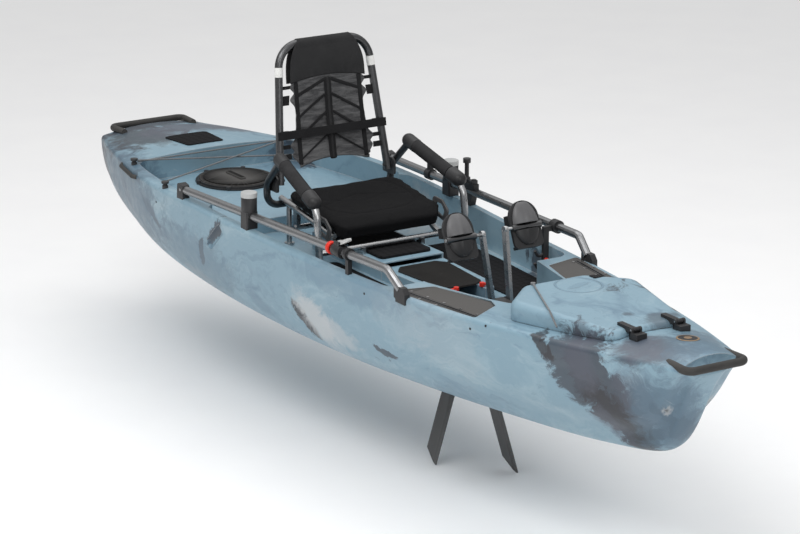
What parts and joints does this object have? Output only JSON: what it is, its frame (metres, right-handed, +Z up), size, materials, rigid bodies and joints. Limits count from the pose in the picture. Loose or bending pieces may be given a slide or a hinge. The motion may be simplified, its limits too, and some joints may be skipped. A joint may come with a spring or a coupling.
{
  "type": "pedal kayak",
  "caption": "Sit-on-top pedal fishing kayak with framed mesh seat, push pedals driving twin fins under the hull, side rails, deck hatches and a kick-up rudder.",
  "frame": {"origin": "middle of the flat keel face that the hull rests on", "axes": "+X to the bow, +Y to port, +Z up"},
  "size_m": [3.788, 0.9178, 1.324],
  "materials": {
    "band_silver": "reflective tape",
    "black_plastic": "moulded nylon, fine grain",
    "cord_grey": "braided elastic cord",
    "fabric_black": "woven polyester",
    "foam": "closed-cell foam, matt",
    "grey_plastic": "moulded, fine grain",
    "hull_plastic": "marbled blue-grey moulded polyethylene, satin",
    "light_plastic": "moulded, light grey",
    "mat_foam": "closed-cell foam sheet, brushed",
    "mesh_black": "open-weave mesh",
    "rail_metal": "dark anodised, satin",
    "red_plastic": "moulded, orange-red",
    "rubber": "moulded rubber",
    "silver_metal": "clear anodised, satin",
    "steel": "stainless"
  },
  "bodies": {
    "boat": {"hull": "hull_plastic", "front_hatch_seal": "rubber", "hatch_hinge_blocks": "black_plastic", "hatch_hinge_pins": "steel", "round_hatch_ring": "black_plastic", "console_plate": "grey_plastic", "centre_hatch_lid": "grey_plastic", "stern_pad": "mat_foam", "floor_mats": "mat_foam", "mounting_boards": "grey_plastic", "board_tracks": "rail_metal", "board_screws": "steel", "end_handles": "rubber", "side_handles": "rubber", "bungee_hooks": "black_plastic", "bungee_cords": "cord_grey", "drain_plug": "black_plastic", "side_rails": "rail_metal", "rail_brackets": "black_plastic", "rail_posts": "black_plastic", "rail_post_caps": "light_plastic", "rail_collar": "red_plastic", "rail_clamp": "black_plastic", "tool_rack": "black_plastic", "tool_rack_knobs": "red_plastic", "seat_front_legs": "silver_metal", "seat_rear_frames": "rail_metal", "seat_under_frame": "silver_metal", "seat_cushion": "fabric_black", "seat_side_plates": "grey_plastic", "armrest_sleeves": "foam", "armrest_caps": "black_plastic", "seat_hinge_plates": "black_plastic", "drive_housing": "black_plastic", "drive_axles": "steel", "steering_bracket": "black_plastic", "rudder_bracket": "black_plastic"},
    "front_hatch": {"front_hatch_lid": "hull_plastic", "hatch_hinge_straps": "black_plastic", "lid_cord": "cord_grey"},
    "round_hatch": {"round_hatch_cover": "grey_plastic"},
    "seat_back": {"back_frame": "rail_metal", "back_bands": "band_silver", "back_panel": "mesh_black", "head_panel": "fabric_black", "back_straps": "fabric_black"},
    "clamp_lever": {"rail_clamp_lever": "light_plastic"},
    "crank_left": {"crank_port": "silver_metal"},
    "crank_right": {"crank_starboard": "silver_metal"},
    "pedal_left": {"pedal_port": "grey_plastic", "pedal_strap_port": "fabric_black"},
    "pedal_right": {"pedal_starboard": "grey_plastic", "pedal_strap_starboard": "fabric_black"},
    "fin_front": {"fin_fore": "rubber"},
    "fin_rear": {"fin_aft": "rubber"},
    "latch_left": {"drive_latch_port": "red_plastic"},
    "latch_right": {"drive_latch_starboard": "red_plastic"},
    "tiller": {"steering_handle": "black_plastic"},
    "rudder": {"rudder_head": "black_plastic"},
    "rudder_blade": {"rudder_blade": "grey_plastic"}
  },
  "joints": [
    {"name": "front_hatch_hinge", "type": "hinge", "parent": "boat", "child": "front_hatch", "pos_m": [1.53, 0, 0.452], "axis": [0, 1, 0], "range_deg": [0, 100]},
    {"name": "round_hatch_turn", "type": "hinge", "parent": "boat", "child": "round_hatch", "pos_m": [-1.122, 0, 0.3115], "axis": [0, 0, 1], "range_deg": [0, 60]},
    {"name": "seat_back_hinge", "type": "hinge", "parent": "boat", "child": "seat_back", "pos_m": [-0.405, 0, 0.5], "axis": [0, -1, 0], "range_deg": [-88, 12]},
    {"name": "clamp_lever_turn", "type": "hinge", "parent": "boat", "child": "clamp_lever", "pos_m": [0.284, -0.3957, 0.46823], "axis": [0, -1, 0], "range_deg": [0, 70]},
    {"name": "crank_left_swing", "type": "hinge", "parent": "boat", "child": "crank_left", "pos_m": [0.672, 0, 0.272], "axis": [0, 1, 0], "range_deg": [-20, 20]},
    {"name": "crank_right_swing", "type": "hinge", "parent": "boat", "child": "crank_right", "pos_m": [0.672, 0, 0.272], "axis": [0, 1, 0], "range_deg": [-20, 20]},
    {"name": "pedal_left_tilt", "type": "hinge", "parent": "crank_left", "child": "pedal_left", "pos_m": [0.60419, 0.055, 0.52507], "axis": [0, 1, 0], "range_deg": [-25, 25]},
    {"name": "pedal_right_tilt", "type": "hinge", "parent": "crank_right", "child": "pedal_right", "pos_m": [0.63101, -0.055, 0.53077], "axis": [0, 1, 0], "range_deg": [-25, 25]},
    {"name": "fin_front_swing", "type": "hinge", "parent": "boat", "child": "fin_front", "pos_m": [0.6, 0, -0.014], "axis": [1, 0, 0], "range_deg": [-50, 50]},
    {"name": "fin_rear_swing", "type": "hinge", "parent": "boat", "child": "fin_rear", "pos_m": [0.39, 0, -0.014], "axis": [1, 0, 0], "range_deg": [-50, 50]},
    {"name": "latch_left_turn", "type": "hinge", "parent": "boat", "child": "latch_left", "pos_m": [0.474, 0.052, 0.2944], "axis": [0, 0, 1], "range_deg": [0, 90]},
    {"name": "latch_right_turn", "type": "hinge", "parent": "boat", "child": "latch_right", "pos_m": [0.474, -0.052, 0.2944], "axis": [0, 0, -1], "range_deg": [0, 90]},
    {"name": "rudder_steer", "type": "hinge", "parent": "boat", "child": "rudder", "pos_m": [-1.836, 0, 0.27], "axis": [0, 0, 1], "range_deg": [-35, 35]},
    {"name": "tiller_turn", "type": "hinge", "parent": "boat", "child": "tiller", "pos_m": [-0.112, 0.405, 0.4684], "axis": [0, 0, 1], "range_deg": [-35, 35]},
    {"name": "rudder_blade_drop", "type": "hinge", "parent": "rudder", "child": "rudder_blade", "pos_m": [-1.885, 0, 0.104], "axis": [0, -1, 0], "range_deg": [0, 170]}
  ],
  "couplings": [
    {"joint": "crank_right_swing", "follows": "crank_left_swing", "ratio": -1},
    {"joint": "fin_front_swing", "follows": "crank_left_swing", "ratio": 2.5},
    {"joint": "fin_rear_swing", "follows": "crank_left_swing", "ratio": -2.5},
    {"joint": "tiller_turn", "follows": "rudder_steer", "ratio": 1}
  ]
}
